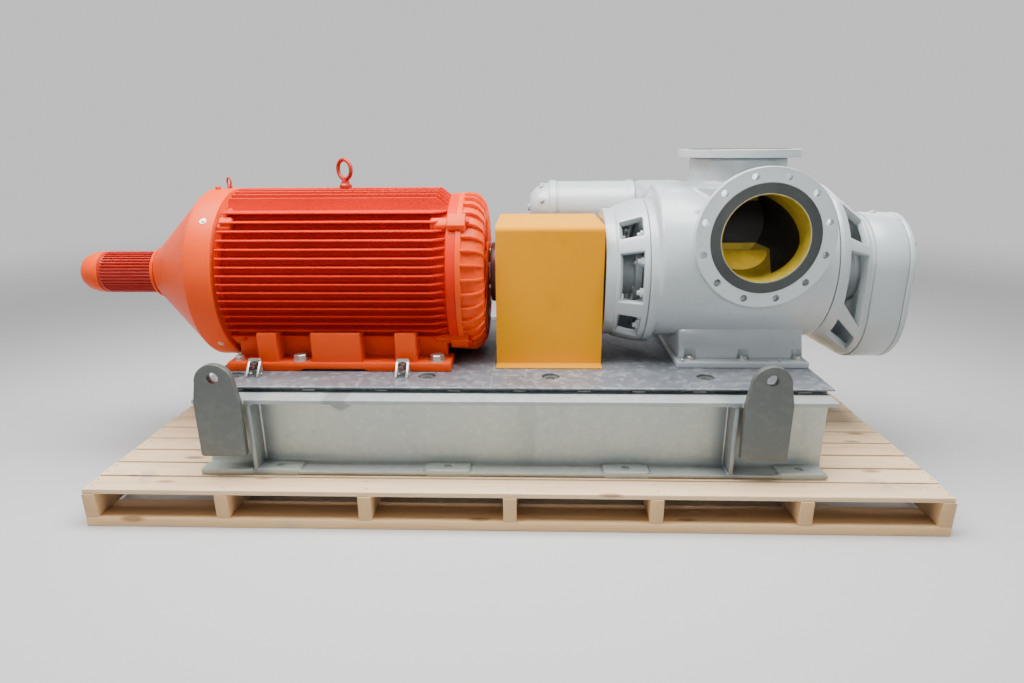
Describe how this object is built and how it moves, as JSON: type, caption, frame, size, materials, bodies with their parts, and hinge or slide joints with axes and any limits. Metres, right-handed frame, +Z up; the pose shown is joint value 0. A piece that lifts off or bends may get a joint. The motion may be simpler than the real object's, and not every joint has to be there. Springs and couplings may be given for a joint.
{
  "type": "twin-screw pump unit",
  "caption": "Motor-driven twin-screw pump on a steel skid: finned motor, coupling guard, pump with side suction and top discharge flanges, relief valve and gear case, on a timber pallet.",
  "frame": {"origin": "on the ground under the middle of the pallet, at the underside of its middle bottom board", "axes": "+X along the shaft from the motor to the pump, -Y towards the side of the suction flange, +Z up"},
  "size_m": [3.246, 1.325, 1.242],
  "materials": {
    "pine": "sawn pine, unfinished",
    "galvanised_steel": "hot-dip galvanised, satin with faint spangle",
    "galvanised_plate": "hot-dip galvanised plate, satin",
    "lug_steel": "dull galvanised",
    "motor_red": "glossy enamel",
    "motor_orange": "glossy enamel",
    "fan_motor_red": "satin enamel",
    "guard_yellow": "glossy enamel",
    "pump_grey": "glossy enamel on castings",
    "bore_yellow": "satin primer",
    "machined_steel": "turned, oiled",
    "bright_steel": "ground",
    "dark_steel": "oiled, brown-black",
    "black_rubber": "matt",
    "zinc_hardware": "zinc plated"
  },
  "bodies": {
    "unit": {"pallet_deck": "pine", "pallet_runner_front": "pine", "pallet_runner_middle": "pine", "pallet_runner_rear": "pine", "pallet_stringer_1": "pine", "pallet_stringer_2": "pine", "pallet_stringer_3": "pine", "pallet_stringer_4": "pine", "pallet_stringer_5": "pine", "pallet_stringer_6": "pine", "pallet_stringer_7": "pine", "beam_front": "galvanised_steel", "beam_rear": "galvanised_steel", "cross_member_1": "galvanised_steel", "cross_member_2": "galvanised_steel", "cross_member_3": "galvanised_steel", "cross_member_4": "galvanised_steel", "top_plate": "galvanised_plate", "lug_front_left": "lug_steel", "lug_front_right": "lug_steel", "lug_rear_left": "lug_steel", "lug_rear_right": "lug_steel", "motor_frame": "motor_red", "drive_end_shield": "motor_red", "fan_cowl": "motor_orange", "fan_motor": "fan_motor_red", "fan_motor_cap": "motor_orange", "motor_eyebolt": "motor_orange", "rear_eyebolt": "motor_orange", "terminal_box": "motor_red", "terminal_box_lid": "motor_red", "coupling_guard": "guard_yellow", "pump_casing": "pump_grey", "suction_flange": "pump_grey", "discharge_flange": "pump_grey", "drive_end_bracket": "pump_grey", "gear_end_bracket": "pump_grey", "drive_seal_housing": "pump_grey", "gear_seal_housing": "pump_grey", "gear_case": "pump_grey", "gear_case_cover": "pump_grey", "relief_valve": "pump_grey", "relief_valve_cap": "pump_grey", "pump_foot": "pump_grey"},
    "drive_train": {"motor_shaft": "bright_steel", "motor_hub": "dark_steel", "coupling_element": "black_rubber", "pump_hub": "dark_steel", "pump_shaft": "bright_steel"}
  },
  "joints": [
    {"name": "shaft_spin", "type": "hinge", "parent": "unit", "child": "drive_train", "pos_m": [0, 0, 0.77], "axis": [1, 0, 0], "continuous": true}
  ]
}
